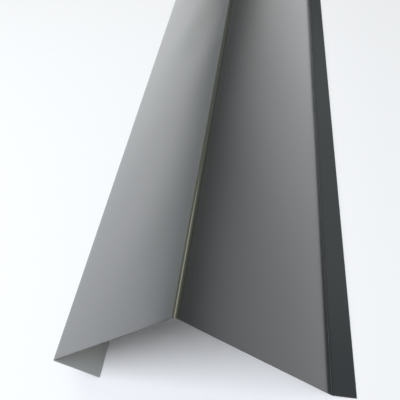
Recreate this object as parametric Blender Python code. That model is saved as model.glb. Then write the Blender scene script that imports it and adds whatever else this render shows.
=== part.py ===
"""Wall flashing: one strip of coated steel, folded along its length and cut square to stock length.

The section runs, on the coated face, from the back return over the top flange and the ridge,
down the face flange and out along the drip lip. The flashing stands on its two long free edges,
like a tent: +Y runs along it, +X points to the face flange, +Z is up, and the origin is on the
floor under the middle of its width and length.
"""

import math

import bmesh
import bpy
from mathutils import Matrix, Vector

# The strip
SHEET_THICKNESS = 0.0005
STOCK_LENGTH = 2.0

# Widths over the sharp corners of the coated face, as a folding drawing gives them
RETURN_WIDTH = 0.038
TOP_WIDTH = 0.130
FACE_WIDTH = 0.132
LIP_WIDTH = 0.015

# Turns of the folds: the return and the face fold down from the top, the lip kicks outwards
RETURN_TURN = math.radians(90.0)
RIDGE_TURN = math.radians(90.0)
LIP_TURN = math.radians(45.0)

# The folding beam leaves this radius inside every bend, and a facet spans this turn of it
INSIDE_BEND_RADIUS = 0.002
BEND_FACET = math.radians(7.5)

# The coat
COAT_COLOUR = (0.034, 0.0385, 0.0405, 1.0)
COAT_ROUGHNESS = 0.25


def clear_scene():
    """Remove what a new Blender file starts with."""
    for item in list(bpy.data.objects):
        bpy.data.objects.remove(item, do_unlink=True)


def coated_radius(turn):
    """Radius of the coated face in a bend.

    A bend that folds away from the coated face has that face outside, one sheet thickness
    further from the centre; a bend that folds towards it has it inside.
    """
    if turn < 0:
        return INSIDE_BEND_RADIUS + SHEET_THICKNESS
    return INSIDE_BEND_RADIUS


def setback(turn):
    """Length that a bend takes from the flange on either side of its sharp corner."""
    return coated_radius(turn) * math.tan(abs(turn) / 2)


def coated_line():
    """Walk along the coated face from the free edge of the return to the free edge of the lip.

    Each stop is a point and the unit vector that points out of the coated face there. The walk
    goes straight over a flange and round an arc at a bend; a negative turn bends to the right,
    away from the coated face, which lies on the left of the walk.
    """
    flanges = (RETURN_WIDTH, TOP_WIDTH, FACE_WIDTH, LIP_WIDTH)
    turns = (-RETURN_TURN, -RIDGE_TURN, LIP_TURN)
    setbacks = [0.0] + [setback(turn) for turn in turns] + [0.0]

    point = Vector((0.0, 0.0))
    heading = math.radians(90.0)
    stops = [(point.copy(), left_of(heading))]
    for number, width in enumerate(flanges):
        straight = width - setbacks[number] - setbacks[number + 1]
        point += straight * direction(heading)
        stops.append((point.copy(), left_of(heading)))
        if number == len(turns):
            break

        turn = turns[number]
        side = math.copysign(1.0, turn)
        centre = point + side * coated_radius(turn) * left_of(heading)
        facets = max(2, round(abs(turn) / BEND_FACET))
        for facet in range(1, facets + 1):
            normal = left_of(heading + turn * facet / facets)
            point = centre - side * coated_radius(turn) * normal
            stops.append((point.copy(), normal))
        heading += turn
    return stops


def direction(heading):
    """Unit vector along a heading, counted from +X towards +Z."""
    return Vector((math.cos(heading), math.sin(heading)))


def left_of(heading):
    """Unit vector to the left of a heading."""
    return Vector((-math.sin(heading), math.cos(heading)))


def folded_section():
    """Closed outline of the section: out along the coated face, back along the inner one."""
    stops = coated_line()
    coated = [point for point, normal in stops]
    inner = [point - SHEET_THICKNESS * normal for point, normal in stops]
    return coated + inner[::-1]


def ground_line(section):
    """Two corners that the section stands on, one at each free edge.

    Four lines join a corner of one free edge to a corner of the other. The section stands on
    the one that no corner of the outline lies below.
    """
    half = len(section) // 2
    lines = [(section[left], section[right]) for left in (0, -1) for right in (half - 1, half)]

    def lowest_corner(line):
        foot, other_foot = line
        across = (other_foot - foot).normalized()
        upwards = Vector((-across.y, across.x))
        return min((point - foot).dot(upwards) for point in section)

    return max(lines, key=lowest_corner)


def stand_on_free_edges(section):
    """Turn the outline until it rests on both free edges, and centre its width on X = 0."""
    foot, other_foot = ground_line(section)
    base = other_foot - foot
    level = Matrix.Rotation(-math.atan2(base.y, base.x), 2)
    section = [level @ point for point in section]

    floor = min(point.y for point in section)
    left = min(point.x for point in section)
    right = max(point.x for point in section)
    shift = Vector(((left + right) / 2, floor))
    return [point - shift for point in section]


def extrude_along_stock(section):
    """Mesh of the section carried straight along Y over the stock length, with flat cut ends."""
    mesh = bmesh.new()
    near = -STOCK_LENGTH / 2
    outline = [mesh.verts.new((point.x, near, point.y)) for point in section]
    cut_end = mesh.faces.new(outline)
    extruded = bmesh.ops.extrude_face_region(mesh, geom=[cut_end], use_keep_orig=True)
    moved = [item for item in extruded["geom"] if isinstance(item, bmesh.types.BMVert)]
    bmesh.ops.translate(mesh, verts=moved, vec=(0.0, STOCK_LENGTH, 0.0))
    bmesh.ops.recalc_face_normals(mesh, faces=mesh.faces)
    return mesh


def coat():
    """Satin coil coating."""
    material = bpy.data.materials.new("coated_steel")
    material.use_nodes = True
    shader = material.node_tree.nodes["Principled BSDF"]
    shader.inputs["Base Color"].default_value = COAT_COLOUR
    shader.inputs["Roughness"].default_value = COAT_ROUGHNESS
    shader.inputs["Metallic"].default_value = 0.0
    return material


def flashing_sheet():
    """The folded sheet as one object."""
    section = stand_on_free_edges(folded_section())
    folded = extrude_along_stock(section)
    data = bpy.data.meshes.new("flashing_sheet")
    folded.to_mesh(data)
    folded.free()
    data.shade_smooth()
    data.set_sharp_from_angle(angle=BEND_FACET * 2)
    data.materials.append(coat())
    sheet = bpy.data.objects.new("flashing_sheet", data)
    bpy.context.scene.collection.objects.link(sheet)
    return sheet


def main():
    clear_scene()
    flashing_sheet()


main()
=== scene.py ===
# %% [markdown]
# # A folded wall flashing, dressed for the camera
#
# The real object is one strip of pre-painted steel, half a millimetre thick, folded along its
# length into a narrow return, a wide top flange, a wide face flange and a drip lip that kicks
# outwards. The solid model already holds that shape. This lesson gives the sheet what the eye
# looks for next: true round folds, a coated face and a paler back, bare cut edges, the faint
# waves of thin steel, and a light in which satin paint shows its sheen.

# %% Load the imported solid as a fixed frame
import math

import bpy
import numpy as np
from mathutils import Matrix, Vector


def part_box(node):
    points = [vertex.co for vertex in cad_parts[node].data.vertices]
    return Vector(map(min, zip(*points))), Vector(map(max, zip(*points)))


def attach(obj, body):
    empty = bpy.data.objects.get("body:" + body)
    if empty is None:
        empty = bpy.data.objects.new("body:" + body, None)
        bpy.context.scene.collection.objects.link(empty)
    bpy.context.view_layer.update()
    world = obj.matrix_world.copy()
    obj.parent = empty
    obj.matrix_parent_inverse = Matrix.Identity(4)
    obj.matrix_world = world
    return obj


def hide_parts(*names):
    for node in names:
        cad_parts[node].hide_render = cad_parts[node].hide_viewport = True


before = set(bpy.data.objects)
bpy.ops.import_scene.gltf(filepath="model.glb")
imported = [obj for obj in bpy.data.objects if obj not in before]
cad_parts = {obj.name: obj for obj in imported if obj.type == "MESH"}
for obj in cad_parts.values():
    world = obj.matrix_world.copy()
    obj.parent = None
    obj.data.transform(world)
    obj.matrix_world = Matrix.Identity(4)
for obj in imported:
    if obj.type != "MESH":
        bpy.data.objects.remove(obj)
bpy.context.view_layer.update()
node_low, node_high = (np.array(corner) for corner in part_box("flashing_sheet"))
print("the sheet's box, mm:", np.round((node_high - node_low) * 1000, 2))

# %% [markdown]
# ## The section, as the folder sees it
#
# A folding drawing gives the widths between the sharp corners of the coated face, and the turn of
# each fold. The metal can't follow a sharp corner, so each fold is an arc, and an arc takes the
# same length from the flanges on its two sides: its radius times the tangent of half the turn.
#
# The values repeat those of the solid, in metres, and the first test below compares the result
# with the solid's own box. Measuring the arcs off the solid's facets would also work, but it would
# carry those facets into every highlight.

# %% Sizes of the section
SHEET_THICKNESS = 0.0005
RETURN_WIDTH = 0.038
TOP_WIDTH = 0.130
FACE_WIDTH = 0.132
LIP_WIDTH = 0.015
FLANGE_WIDTHS = np.array([RETURN_WIDTH, TOP_WIDTH, FACE_WIDTH, LIP_WIDTH])
FOLD_TURNS = np.radians([-90.0, -90.0, 45.0])
INSIDE_BEND_RADIUS = 0.002

coated_radii = INSIDE_BEND_RADIUS + np.where(FOLD_TURNS < 0, SHEET_THICKNESS, 0.0)
setbacks = np.concatenate(([0.0], coated_radii * np.tan(np.abs(FOLD_TURNS) / 2), [0.0]))
straights = FLANGE_WIDTHS - setbacks[:-1] - setbacks[1:]
arcs = coated_radii * np.abs(FOLD_TURNS)
coated_width = straights.sum() + arcs.sum()
print("straight parts, mm:", np.round(straights * 1000, 2), "arcs, mm:", np.round(arcs * 1000, 2))

# %% [markdown]
# ## Where the grid lines run
#
# The skin is a grid of two parameters: the distance across the sheet and the distance along it.
# A flat flange needs few lines, a fold needs many, and a cut edge needs some very close ones,
# because the shear rolls the coat over there. A line half a millimetre beside each fold keeps the
# smooth shading of the arc out of the flat.

# %% Distances across the sheet
FLAT_STEP = 0.006
FOLD_STEP = math.radians(3.75)
EDGE_LINES = np.array([0.0, 0.00003, 0.00008, 0.00015, 0.00025, 0.0005])
FOLD_GUARD = 0.0005


def evenly(start, end, step):
    """Numbers from start to end, both included, at most one step apart."""
    return np.linspace(start, end, max(2, math.ceil(abs(end - start) / step) + 1))


def distances_across():
    """All the grid's distances from the free edge of the return to the free edge of the lip."""
    lines = [EDGE_LINES, coated_width - EDGE_LINES]
    start = 0.0
    for number, straight in enumerate(straights):
        guards = np.array([start + FOLD_GUARD, start + straight - FOLD_GUARD])
        lines.append(evenly(guards[0], guards[1], FLAT_STEP))
        lines.append(np.array([start, start + straight]))
        start += straight
        if number < len(arcs):
            lines.append(evenly(start, start + arcs[number], FOLD_STEP * coated_radii[number]))
            start += arcs[number]
    return np.unique(np.round(np.concatenate(lines), 7))


across = distances_across()
print(len(across), "lines across", round(coated_width * 1000, 2), "mm of coated face")

# %% [markdown]
# ## From distances to a path
#
# Along a flange the heading stays, and along an arc it turns evenly. So the heading is a chain of
# straight ramps over the distance, which one call of np.interp gives at every line. Two neighbours
# are then joined by the chord of the arc between them: its length is the arc's, times the sine of
# half the turn over half the turn, and its heading is the mean of the two. Adding up the chords
# gives the path exactly, with no drift.

# %% The coated line and its normals
fold_starts = np.cumsum(straights)[:-1] + np.concatenate(([0.0], np.cumsum(arcs)[:-1]))
fold_ends = fold_starts + arcs
ramp_places = np.stack((fold_starts, fold_ends), axis=1).ravel()
ramp_headings = math.radians(90.0) + np.concatenate(([0.0], np.repeat(np.cumsum(FOLD_TURNS), 2)[:-1]))


def path_from_headings(distance, heading):
    """Points of a path: the running sum of the chords between its lines."""
    turn = np.diff(heading)
    chord = np.diff(distance) * np.sinc(turn / (2 * math.pi))
    middle = heading[:-1] + turn / 2
    steps = chord[:, None] * np.stack((np.cos(middle), np.sin(middle)), axis=1)
    return np.concatenate((np.zeros((1, 2)), np.cumsum(steps, axis=0)))


headings = np.interp(across, ramp_places, ramp_headings)
coated_line = path_from_headings(across, headings)
outwards = np.stack((-np.sin(headings), np.cos(headings)), axis=1)
inner_line = coated_line - SHEET_THICKNESS * outwards

# %% [markdown]
# ## Standing on its two free edges
#
# Put down on a floor, the flashing stands like a tent: on the coated corner of the return's free
# edge and on the inner corner of the lip's. The path is turned until these two are level, put down
# on the floor and centred, as the solid is.

# %% Turn the section to its rest
foot, other_foot = coated_line[0], inner_line[-1]
tilt = -math.atan2(other_foot[1] - foot[1], other_foot[0] - foot[0])
level = np.array([[math.cos(tilt), -math.sin(tilt)], [math.sin(tilt), math.cos(tilt)]])
coated_line, inner_line, outwards = (line @ level.T for line in (coated_line, inner_line, outwards))
both_lines = np.concatenate((coated_line, inner_line))
shift = np.array([(both_lines[:, 0].min() + both_lines[:, 0].max()) / 2, both_lines[:, 1].min()])
coated_line = coated_line - shift
inner_line = inner_line - shift
drift = np.array([np.ptp(both_lines[:, 0]), np.ptp(both_lines[:, 1])]) - (node_high - node_low)[[0, 2]]
print("difference from the solid's box, mm:", np.round(drift * 1000, 4))

# %% [markdown]
# ## Lines along the length
#
# The shear left the two ends square. Close lines follow the rolled edge there, and in between a
# line every centimetre is enough for the waves.

# %% Distances along the sheet
LENGTH_STEP = 0.0105
near, far = node_low[1], node_high[1]
along = np.unique(np.concatenate((
    near + EDGE_LINES,
    far - EDGE_LINES,
    evenly(near + EDGE_LINES[-1], far - EDGE_LINES[-1], LENGTH_STEP),
)))
print(len(along), "lines along", round((far - near) * 1000), "mm")

# %% [markdown]
# ## Thin steel is never quite flat
#
# Between two folds a wide flange of half-millimetre steel bows in and out by a tenth of a
# millimetre or two. Satin paint shows it at once: a slope of a quarter of a degree moves a mirrored
# edge by half a degree, so the soft bands beside the ridge swell and narrow along the sheet. The
# folds and free edges hold the steel straight, so the wave fades out there. It could be a
# displacement modifier with a noise texture. A sum of a few sine waves is easier to bound: its
# height can be given in millimetres, and it is the same on both faces of the sheet.

# %% Waves of the flanges
WAVE_LENGTHS = np.array([0.61, 0.37, 0.23, 0.147])
WAVE_HEIGHTS = np.array([0.00009, 0.00007, 0.00006, 0.00005])
WAVE_SLANTS = np.array([0.9, -1.4, 0.6, -0.5])
HELD_AT_CUT = 0.4
CUT_REACH = 0.05


def hold(distance):
    """0 at each fold and free edge, 1 in the middle of a wide flange: a sine over the flange."""
    stops = np.concatenate(([0.0], ramp_places, [coated_width]))
    starts, ends = stops[0::2], stops[1::2]
    place = (distance[:, None] - starts) / (ends - starts)
    inside = (place > 0) & (place < 1)
    width_share = (ends - starts) / (ends - starts).max()
    return (np.sin(np.pi * place) * inside * width_share ** 2).sum(axis=1)


def waves(distance, station):
    """Height of the sheet over its true plane: a sum of sines, held at folds and eased at cuts."""
    slant = distance[:, None, None] * WAVE_SLANTS / FLANGE_WIDTHS.max()
    phase = station[None, :, None] / WAVE_LENGTHS + slant
    rise = (np.sin(2 * math.pi * phase) * WAVE_HEIGHTS).sum(axis=2)
    from_cut = np.clip(np.minimum(station - near, far - station) / CUT_REACH, 0, 1)
    return rise * hold(distance)[:, None] * (HELD_AT_CUT + (1 - HELD_AT_CUT) * from_cut)[None, :]


wave_grid = waves(across, along)
steepest = np.degrees(np.abs(np.gradient(wave_grid, along, axis=1)).max())
print("waves reach", np.round([wave_grid.min() * 1000, wave_grid.max() * 1000], 3), "mm,",
      "steepest", round(float(steepest), 2), "degrees")

# %% [markdown]
# ## The rolled edge
#
# A shear presses the coated face down before it cuts, so the last quarter of a millimetre curves
# over like a quarter of an ellipse. On the grid it is one formula of the distance to the nearest
# cut.

# %% Roll the coat over at the cuts
ROLL_WIDTH = 0.00025
ROLL_DEPTH = 0.00009


def rolled(distance, station):
    """How far the coated face has sunk: the depth, less the height of a quarter ellipse."""
    to_free_edge = np.minimum(distance, coated_width - distance)
    to_cut_end = np.minimum(station - near, far - station)
    nearest = np.minimum(to_free_edge[:, None], to_cut_end[None, :])
    reach = np.clip(1 - nearest / ROLL_WIDTH, 0, 1)
    return ROLL_DEPTH * (1 - np.sqrt(1 - reach ** 2))


coated_rise = wave_grid - rolled(across, along)

# %% [markdown]
# ## Closing the skin
#
# One loop of points goes out over the coated face and back under the inner one, so the sheet is
# a closed tube of a very flat section. Carried along the length it gives a grid of quads, and the
# two ends are closed by quads between the faces. Each quad knows what it is, coated face, inner
# face or cut edge, and its place on the map. There the two ends lie a centimetre off the rest.

# %% The grid of points and quads
FRONT, BACK, CUT = 0, 1, 2
END_GAP_ON_MAP = 0.01


def face_grid(line, rise):
    """Points of one face: its line, moved along its normals by the rise, at every station."""
    moved = line[:, None, :] + outwards[:, None, :] * rise[:, :, None]
    stations = np.broadcast_to(along, rise.shape)
    return np.stack((moved[:, :, 0], stations, moved[:, :, 1]), axis=2)


def closed_skin():
    """Points, quads, kinds of quad, and each quad's distances round the skin and along it."""
    count, stations = len(across), len(along)
    ring = np.concatenate((face_grid(coated_line, coated_rise), face_grid(inner_line, wave_grid)[::-1]))
    index = np.arange(ring.shape[0] * stations).reshape(ring.shape[0], stations)
    ahead = np.roll(index, -1, axis=0)
    sides = np.stack((index[:, :-1], index[:, 1:], ahead[:, 1:], ahead[:, :-1]), axis=2)
    shape = sides.shape[:2]
    kinds = np.full(shape, BACK)
    kinds[: count - 1] = FRONT
    kinds[[count - 1, -1]] = CUT

    under = index[::-1]
    near_cap = np.stack((index[: count - 1, 0], index[1:count, 0],
                         under[1:count, 0], under[: count - 1, 0]), axis=1)
    far_cap = np.stack((index[: count - 1, -1], under[: count - 1, -1],
                        under[1:count, -1], index[1:count, -1]), axis=1)

    round_skin = np.concatenate((across, across[-1] + SHEET_THICKNESS + across[-1] - across[::-1]))
    round_skin = np.append(round_skin, round_skin[-1] + SHEET_THICKNESS)
    low, high = (np.broadcast_to(part[:, None], shape) for part in (round_skin[:-1], round_skin[1:]))
    first, last = (np.broadcast_to(part, shape) for part in (along[:-1], along[1:]))
    side_maps = np.stack((low, first, low, last, high, last, high, first), axis=2).reshape(-1, 4, 2)
    cap_across = np.stack((across[:-1], across[1:], across[1:], across[:-1]), axis=1)
    cap_through = np.broadcast_to([0.0, 0.0, SHEET_THICKNESS, SHEET_THICKNESS], cap_across.shape)
    near_maps = np.stack((cap_across, near - END_GAP_ON_MAP - cap_through), axis=2)
    far_maps = np.stack((cap_across, far + END_GAP_ON_MAP + cap_through), axis=2)[:, [0, 3, 2, 1]]

    quads = np.concatenate((sides.reshape(-1, 4), near_cap, far_cap))
    all_kinds = np.concatenate((kinds.ravel(), np.full(2 * (count - 1), CUT)))
    maps = np.concatenate((side_maps, near_maps, far_maps))
    return ring.reshape(-1, 3), quads, all_kinds, maps


points, quads, kinds, maps = closed_skin()
print(len(points), "points,", len(quads), "quads,", len(quads) * 2, "triangles")

# %% [markdown]
# ## The mesh
#
# Whole arrays go into the mesh at once. The map holds real metres round the skin and along it, so
# a pattern in the coat keeps its scale over flats and folds alike. A second value marks the two
# folds that have the coat outside, where it was drawn thin and where the coat's colour also paints
# a highlight tint.

# %% Make the sheet's mesh
FOLD_FADE = 0.0012
DRAWN_FOLDS = FOLD_TURNS < 0
SHARP_FROM = math.radians(40.0)


def stretch_and_highlight_tint_of(distance):
    """1 on the outside of a fold, falling evenly to 0 at the fade's width beside it: the thinned coat,
    where a highlight tint is also painted.
    """
    before, after = fold_starts - distance[:, None], distance[:, None] - fold_ends
    beyond = np.maximum(before, after)[:, DRAWN_FOLDS]
    return np.clip(1 - beyond / FOLD_FADE, 0, 1).max(axis=1)


sheet_mesh = bpy.data.meshes.new("folded_coated_sheet")
sheet_mesh.from_pydata(points, [], quads)
sheet_mesh.polygons.foreach_set("material_index", kinds.astype(np.int32))
sheet_mesh.uv_layers.new(name="coat_map").data.foreach_set("uv", maps.astype(np.float32).ravel())
stretch_and_highlight_tint = np.concatenate((stretch_and_highlight_tint_of(across), np.zeros(len(across))))
stretch_and_highlight_tint_values = np.repeat(stretch_and_highlight_tint, len(along)).astype(np.float32)
sheet_mesh.attributes.new("stretch_and_highlight_tint", "FLOAT", "POINT").data.foreach_set("value", stretch_and_highlight_tint_values)
sheet_mesh.shade_smooth()
sheet_mesh.set_sharp_from_angle(angle=SHARP_FROM)
sheet_mesh.validate()
sheet = bpy.data.objects.new("folded_coated_sheet", sheet_mesh)
bpy.context.scene.collection.objects.link(sheet)
print(int((stretch_and_highlight_tint > 0).sum()), "of", len(across), "lines are on or beside a drawn fold")

# %% [markdown]
# ## Helpers for finishes
#
# Each finish is a small tree of nodes. One class keeps the trees short: it adds a node and sets its
# values in one call, and has a name for each of the few nodes that come back in every finish. A
# noise takes its size as a length on the real object, and a bump its height, both in metres.

# %% Node helpers
NOISE_LOW, NOISE_HIGH = 0.3, 0.7


class Finish:
    """A material and the shortest way to add nodes to it."""

    def __init__(self, name):
        self.material = bpy.data.materials.new(name)
        self.material.use_nodes = True
        self.tree = self.material.node_tree
        self.shader = self.tree.nodes["Principled BSDF"]

    def node(self, kind, values=(), **settings):
        """Add a node of a kind, set its settings, and fill its inputs: a value or another output."""
        made = self.tree.nodes.new(kind)
        for name, setting in settings.items():
            setattr(made, name, setting)
        for name, value in dict(values).items():
            self.feed(made.inputs[name], value)
        return made

    def feed(self, socket, value):
        """Link an output to a socket, or set the socket to a number or colour."""
        if isinstance(value, bpy.types.NodeSocket):
            self.tree.links.new(value, socket)
        else:
            socket.default_value = value

    def noise(self, place, size, detail=2.0, roughness=0.5):
        """Noise whose blotches are about a given length, in metres."""
        values = {"Vector": place, "Scale": 1 / size, "Detail": detail, "Roughness": roughness}
        return self.node("ShaderNodeTexNoise", values).outputs["Fac"]

    def ramp(self, value, low, high, to_low, to_high):
        """Carry a value from the range low..high to another range, clamped."""
        values = {"Value": value, "From Min": low, "From Max": high, "To Min": to_low, "To Max": to_high}
        return self.node("ShaderNodeMapRange", values).outputs["Result"]

    def spread_noise(self, noise, to_low, to_high):
        """Carry a noise to a range: most of it lies between 0.3 and 0.7."""
        return self.ramp(noise, NOISE_LOW, NOISE_HIGH, to_low, to_high)

    def mix(self, share, first, second):
        """Mix two colours by a share."""
        made = self.node("ShaderNodeMix", data_type="RGBA")
        for socket, value in zip((made.inputs[0], made.inputs[6], made.inputs[7]), (share, first, second)):
            self.feed(socket, value)
        return made.outputs[2]

    def maths(self, operation, first, second):
        """One sum, product or other step on two numbers."""
        made = self.node("ShaderNodeMath", operation=operation)
        self.feed(made.inputs[0], first)
        self.feed(made.inputs[1], second)
        return made.outputs[0]

    def bump(self, value, height):
        """Normals of a relief whose height is the value times a height in metres."""
        values = {"Height": value, "Distance": height, "Strength": 1.0}
        return self.node("ShaderNodeBump", values).outputs["Normal"]


# %% [markdown]
# ## The coat
#
# The front is a dark graphite coil coating. It looks mid grey in most light, because satin paint
# mirrors a pale floor at a glancing angle, and only the lip, seen from above, shows how dark it is.
# A lighter colour would be the easy way to a mid grey, but it would lose the deep tones beside the
# ridge and on the lip. So the colour stays dark and the sheen is left to the shader: a clear layer
# over the pigment, each with its own Fresnel.
#
# Three small things keep it from looking like plastic. The coating roller leaves faint streaks
# along the strip, which follow the sheet round its folds, so they read the map. The coat is drawn
# thin on the outside of a fold, where it is duller and a little lighter and faintly olive in colour:
# partly its primer showing through, partly a painted highlight, the warm tint of the ridge's
# reflection. And the dried coat has an orange peel of two hundredths of a millimetre.

# %% Front coat
GRAPHITE = (0.032, 0.0365, 0.0385, 1.0)
GRAPHITE_LIGHT = (0.036, 0.0405, 0.0425, 1.0)
# Painted highlight tint: lighter and faintly olive on the drawn folds, partly the thinned coat over
# primer, partly the warm colour of the ridge's reflection.
STRETCHED_COAT_AND_HIGHLIGHT_TINT = (0.053, 0.056, 0.042, 1.0)
CLEAR_IOR = 1.6
SHEEN_ROUGHNESS = 0.14
SMEAR_SHEEN = 0.02
STREAK_SHEEN = 0.008
STRETCH_SHEEN = 0.08
CLOUD_SIZE = 0.16
SMEAR_SIZE = 0.035
STREAK_WIDTH = 0.004
STREAK_LENGTH = 0.6
PEEL_SIZE = 0.0016
PEEL_HEIGHT = 0.00002


def front_coat():
    """Satin graphite coating: dark pigment under a clear layer."""
    coat = Finish("graphite_coat")
    place = coat.node("ShaderNodeTexCoord").outputs["Object"]
    cloud = coat.noise(place, CLOUD_SIZE, detail=4.0)
    smear = coat.noise(place, SMEAR_SIZE, detail=5.0, roughness=0.62)
    strip = coat.node("ShaderNodeUVMap", uv_map="coat_map").outputs["UV"]
    comb = (1 / STREAK_WIDTH, 1 / STREAK_LENGTH, 1.0)
    combed = coat.node("ShaderNodeMapping", {"Vector": strip, "Scale": comb}).outputs["Vector"]
    streak = coat.noise(combed, 1.0, detail=3.0)
    stretch_and_highlight_tint = coat.node("ShaderNodeAttribute", attribute_name="stretch_and_highlight_tint").outputs["Fac"]

    uneven = coat.ramp(coat.maths("ADD", cloud, streak), 2 * NOISE_LOW, 2 * NOISE_HIGH, 0.0, 1.0)
    pigment = coat.mix(uneven, GRAPHITE, GRAPHITE_LIGHT)
    # On the drawn folds the base colour turns to that lighter olive: a thinned coat and a painted
    # highlight tint.
    coat.feed(coat.shader.inputs["Base Color"], coat.mix(stretch_and_highlight_tint, pigment, STRETCHED_COAT_AND_HIGHLIGHT_TINT))
    touched = coat.spread_noise(smear, SHEEN_ROUGHNESS - SMEAR_SHEEN, SHEEN_ROUGHNESS + SMEAR_SHEEN)
    combed_sheen = coat.maths("ADD", touched, coat.spread_noise(streak, -STREAK_SHEEN, STREAK_SHEEN))
    drawn_sheen = coat.maths("ADD", combed_sheen, coat.ramp(stretch_and_highlight_tint, 0.0, 1.0, 0.0, STRETCH_SHEEN))
    coat.feed(coat.shader.inputs["Roughness"], drawn_sheen)
    coat.shader.inputs["IOR"].default_value = CLEAR_IOR
    coat.shader.inputs["Coat Weight"].default_value = 1.0
    coat.shader.inputs["Coat Roughness"].default_value = SHEEN_ROUGHNESS
    coat.shader.inputs["Coat IOR"].default_value = CLEAR_IOR
    peel = coat.noise(place, PEEL_SIZE, detail=1.0)
    coat.feed(coat.shader.inputs["Normal"], coat.bump(peel, PEEL_HEIGHT))
    return coat.material


# %% [markdown]
# ## The back
#
# The inner face carries only a thin washcoat over primer: light grey, flat and a little blotchy.

# %% Back coat
WASH_GREY = (0.545, 0.555, 0.535, 1.0)
WASH_GREY_LIGHT = (0.595, 0.605, 0.585, 1.0)
WASH_ROUGHNESS = (0.5, 0.62)
BLOTCH_SIZE = 0.05
GRAIN_SIZE = 0.0012
GRAIN_HEIGHT = 0.00002


def back_coat():
    """Matt light grey washcoat."""
    wash = Finish("wash_coat")
    place = wash.node("ShaderNodeTexCoord").outputs["Object"]
    blotch = wash.noise(place, BLOTCH_SIZE, detail=5.0, roughness=0.6)
    wash.feed(wash.shader.inputs["Base Color"], wash.mix(blotch, WASH_GREY, WASH_GREY_LIGHT))
    wash.feed(wash.shader.inputs["Roughness"], wash.spread_noise(blotch, *WASH_ROUGHNESS))
    grain = wash.noise(place, GRAIN_SIZE, detail=2.0)
    wash.feed(wash.shader.inputs["Normal"], wash.bump(grain, GRAIN_HEIGHT))
    return wash.material


# %% [markdown]
# ## The cut edge
#
# Where the shear went through, the steel is bare under its zinc: dull, dark and scored.

# %% Cut edge
CUT_STEEL = (0.10, 0.10, 0.098, 1.0)
CUT_STEEL_LIGHT = (0.22, 0.22, 0.215, 1.0)
SCORE_SIZE = 0.0008


def cut_edge():
    """Sheared edge of galvanised steel."""
    edge = Finish("sheared_steel")
    place = edge.node("ShaderNodeTexCoord").outputs["Object"]
    scores = edge.noise(place, SCORE_SIZE, detail=3.0)
    edge.feed(edge.shader.inputs["Base Color"], edge.mix(scores, CUT_STEEL, CUT_STEEL_LIGHT))
    edge.shader.inputs["Metallic"].default_value = 0.8
    edge.shader.inputs["Roughness"].default_value = 0.55
    return edge.material


# %% [markdown]
# ## Dressing the sheet
#
# The materials go into the mesh in the order of the kinds of quad. The piece rides on the body
# and stands for the solid of the same shape.

# %% Finishes onto the sheet
for finish in (front_coat(), back_coat(), cut_edge()):
    sheet_mesh.materials.append(finish)
    print(finish.name, "has", len(finish.node_tree.nodes), "nodes")

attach(sheet, "root")
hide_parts("flashing_sheet")

# %% [markdown]
# ## The floor
#
# A plain pale floor carries the object's soft shadow. It does more than that: seen from above,
# both wide flanges mirror it, each on its own side, so its brightness is the flanges' tone.

# %% Floor
FLOOR_COLOUR = (0.90, 0.90, 0.90, 1.0)
FLOOR_REACH = 6.0


def pale_floor():
    """A flat square floor at height zero."""
    mesh = bpy.data.meshes.new("floor")
    corners = [(-FLOOR_REACH, -FLOOR_REACH, 0), (FLOOR_REACH, -FLOOR_REACH, 0),
               (FLOOR_REACH, FLOOR_REACH, 0), (-FLOOR_REACH, FLOOR_REACH, 0)]
    mesh.from_pydata(corners, [], [(0, 1, 2, 3)])
    paint = Finish("floor_paint")
    paint.shader.inputs["Base Color"].default_value = FLOOR_COLOUR
    paint.shader.inputs["Roughness"].default_value = 0.9
    paint.shader.inputs["Specular IOR Level"].default_value = 0.2
    mesh.materials.append(paint.material)
    made = bpy.data.objects.new("floor", mesh)
    bpy.context.scene.collection.objects.link(made)
    return made


pale_floor()
print("floor", FLOOR_REACH * 2, "m wide")

# %% [markdown]
# ## The room
#
# Dark satin paint is a map of its surroundings. From this camera the top flange mirrors the floor
# on the left and, beside the ridge, the left of the room; the face flange mirrors the right; the
# lip looks up and ahead. Nothing mirrors what is high above the camera. So the room is dim and
# even, with three soft glows: a pale one up there, which lights the floor and every side without
# being mirrored, a low one on the left, and a small one high ahead for the lip. An even grey world
# would give the right amount of light, and flat metal.

# %% A dim room with three soft glows
ROOM_GREY = (0.06, 0.06, 0.06, 1.0)

# name, azimuth and elevation of the centre, angle where it has faded, angle where it is full, colour
GLOWS = (
    ("above the camera", 160, 65, 46, 5, (0.40, 0.40, 0.41, 1.0)),
    ("left", -50, 3, 50, 5, (0.128, 0.146, 0.156, 1.0)),
    ("ahead", 22, 44, 28, 4, (0.195, 0.215, 0.210, 1.0)),
)


def compass(azimuth, elevation):
    """Unit vector of a direction, in degrees clockwise from +Y and degrees above the floor."""
    turn, rise = math.radians(azimuth), math.radians(elevation)
    return Vector((math.sin(turn) * math.cos(rise), math.cos(turn) * math.cos(rise), math.sin(rise)))


def glow(tree, below, centre, outer, inner, colour):
    """Add a glow to a colour: full inside one angle from its centre, fading to none at another."""
    dot = tree.nodes.new("ShaderNodeVectorMath")
    dot.operation = "DOT_PRODUCT"
    tree.links.new(tree.nodes["sight"].outputs["Generated"], dot.inputs[0])
    dot.inputs[1].default_value = centre
    fade = tree.nodes.new("ShaderNodeMapRange")
    fade.interpolation_type = "SMOOTHSTEP"
    tree.links.new(dot.outputs["Value"], fade.inputs["Value"])
    fade.inputs["From Min"].default_value = math.cos(math.radians(outer))
    fade.inputs["From Max"].default_value = math.cos(math.radians(inner))
    added = tree.nodes.new("ShaderNodeMix")
    added.data_type = "RGBA"
    added.blend_type = "ADD"
    tree.links.new(fade.outputs["Result"], added.inputs[0])
    tree.links.new(below, added.inputs[6])
    added.inputs[7].default_value = colour
    return added.outputs[2]


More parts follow.
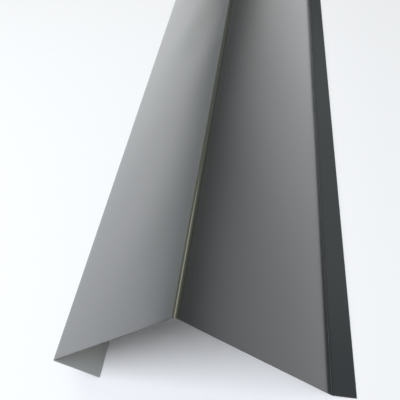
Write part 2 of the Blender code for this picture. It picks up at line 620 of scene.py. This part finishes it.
def dim_room():
    """A world whose colour depends only on the direction of sight."""
    world = bpy.data.worlds.new("room")
    world.use_nodes = True
    tree = world.node_tree
    tree.nodes.new("ShaderNodeTexCoord").name = "sight"
    even = tree.nodes.new("ShaderNodeRGB")
    even.outputs[0].default_value = ROOM_GREY
    sum_of_glows = even.outputs[0]
    for name, azimuth, elevation, outer, inner, colour in GLOWS:
        sum_of_glows = glow(tree, sum_of_glows, compass(azimuth, elevation), outer, inner, colour)
        print("glow", name, "at azimuth", azimuth, "elevation", elevation)
    tree.links.new(sum_of_glows, tree.nodes["Background"].inputs["Color"])
    return world


bpy.context.scene.world = dim_room()

# %% [markdown]
# ## The lamps
#
# Light adds up, so each lamp can be rendered alone and judged by the tones that it gives each
# flange, and then weighed against the others. Three are enough. The key is a wide soft lamp above
# the floor behind and to the left of the near end: the floor is brightest there and falls off
# towards the far right, which gives the top flange its silver and the face flange its slow fade
# into the dark beside the ridge. A broad warm lamp overhead is there for the ridge: from this
# camera only the round fold mirrors it. A faint one with a narrow beam lifts the floor on the
# right, which the middle of the face flange mirrors.

# %% Lamps
def soft_lamp(name, place, width, power, colour, spread=180):
    """A square soft lamp that points straight down: metres, watts, colour, beam in degrees."""
    data = bpy.data.lights.new(name, "AREA")
    data.shape = "RECTANGLE"
    data.size, data.size_y = width, width
    data.energy = power
    data.color = colour
    data.spread = math.radians(spread)
    lamp = bpy.data.objects.new(name, data)
    lamp.location = place
    bpy.context.scene.collection.objects.link(lamp)
    print(name, "lamp,", power, "W at", place)


soft_lamp("key", (-1.5, -1.9, 2.8), width=2.0, power=113.0, colour=(0.97, 1.0, 1.075))
soft_lamp("ridge", (-0.7, 0.3, 2.2), width=1.2, power=9.0, colour=(1.0, 1.0, 0.74))
soft_lamp("right", (0.4, -0.1, 2.2), width=1.8, power=0.9, colour=(1.0, 1.0, 1.0), spread=45)

# %% [markdown]
# ## The camera
#
# The camera looks down on the near end from a little to the right of the ridge, close enough for
# the two metres behind it to run out of the top of the picture. Four corners of the near end and
# the vanishing lines of the folds fix its place, its three angles and its lens.

# %% Camera
CAMERA_PLACE = (0.0637, -1.0858, 0.3011)
CAMERA_TURN = math.radians(19.39)
CAMERA_DOWN = math.radians(48.65)
CAMERA_ROLL = math.radians(-15.61)
LENS = 38.93


def close_camera():
    """Camera at its place: rolled, tipped down from the horizon, then turned to the left."""
    data = bpy.data.cameras.new("camera")
    data.sensor_width = 36.0
    data.lens = LENS
    data.clip_start = 0.01
    made = bpy.data.objects.new("camera", data)
    turned = Matrix.Rotation(CAMERA_TURN, 4, "Z")
    tipped = Matrix.Rotation(math.radians(90.0) - CAMERA_DOWN, 4, "X")
    rolled_over = Matrix.Rotation(CAMERA_ROLL, 4, "Z")
    made.matrix_world = Matrix.Translation(CAMERA_PLACE) @ turned @ tipped @ rolled_over
    bpy.context.scene.collection.objects.link(made)
    return made


bpy.context.scene.camera = close_camera()
print("camera", round(math.degrees(CAMERA_DOWN)), "degrees down,", LENS, "mm lens")

# %% [markdown]
#
# The Standard view shows a colour as it was written.

# %% Finish
bpy.context.scene.view_settings.view_transform = "Standard"
